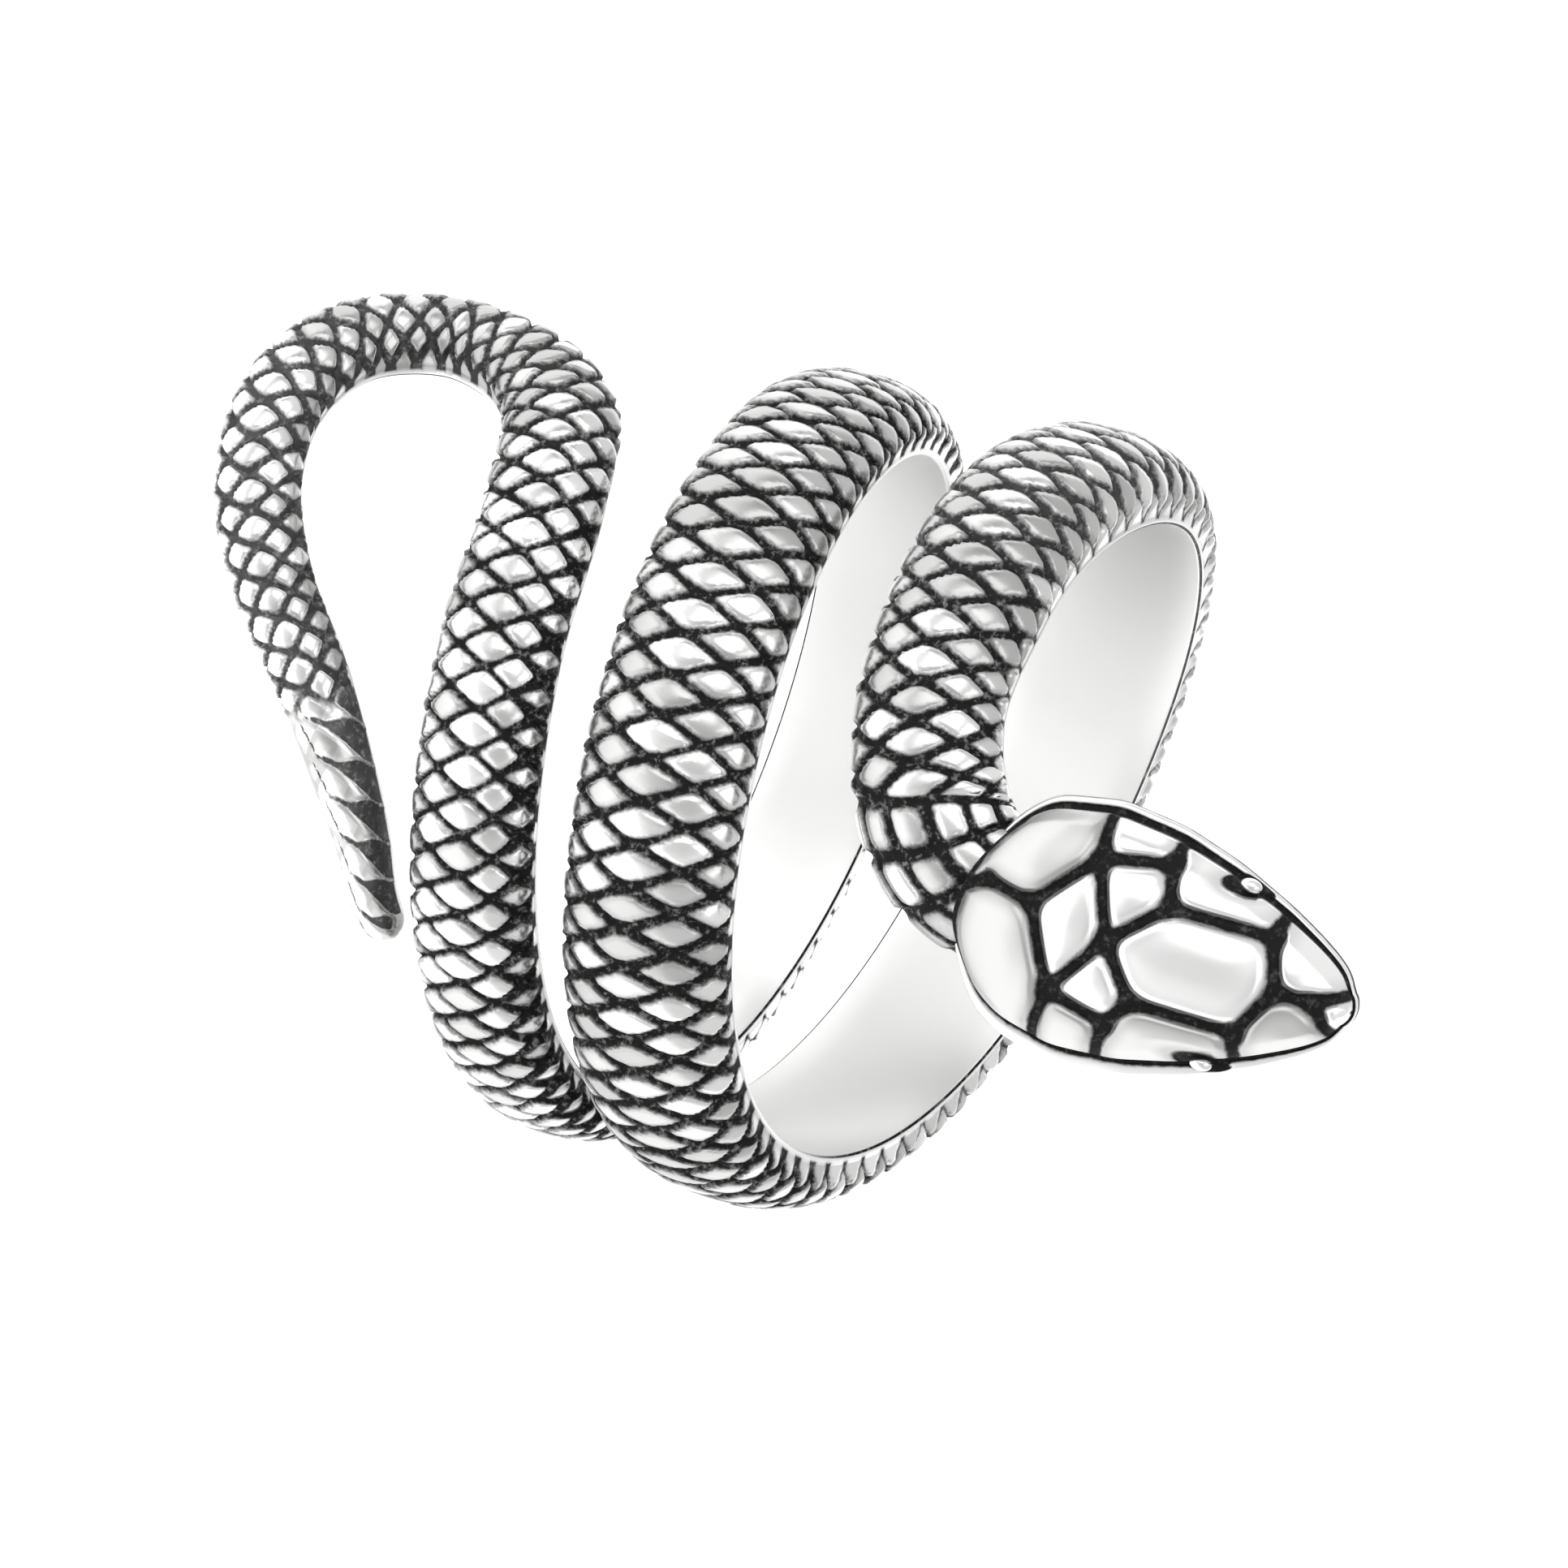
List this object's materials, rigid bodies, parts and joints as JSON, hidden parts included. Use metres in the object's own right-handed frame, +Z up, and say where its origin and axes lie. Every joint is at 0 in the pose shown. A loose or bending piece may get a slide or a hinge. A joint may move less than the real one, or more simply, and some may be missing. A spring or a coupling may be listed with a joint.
{
  "type": "snake wrap ring",
  "caption": "Cast silver finger ring shaped as a scaled snake that coils round the finger, with a looped tail end and a plated head lying along the finger.",
  "frame": {"origin": "middle of the base of the ring's box, on the surface that it rests on", "axes": "+Z up from that surface, +Y towards the side that the finger hole leans to, so the hole's axis lies in the YZ plane and points up to the head's end"},
  "size_m": [0.022, 0.0272, 0.0286],
  "materials": {
    "silver": "polished"
  },
  "bodies": {
    "root": {"snake_ring": "silver"}
  },
  "joints": []
}
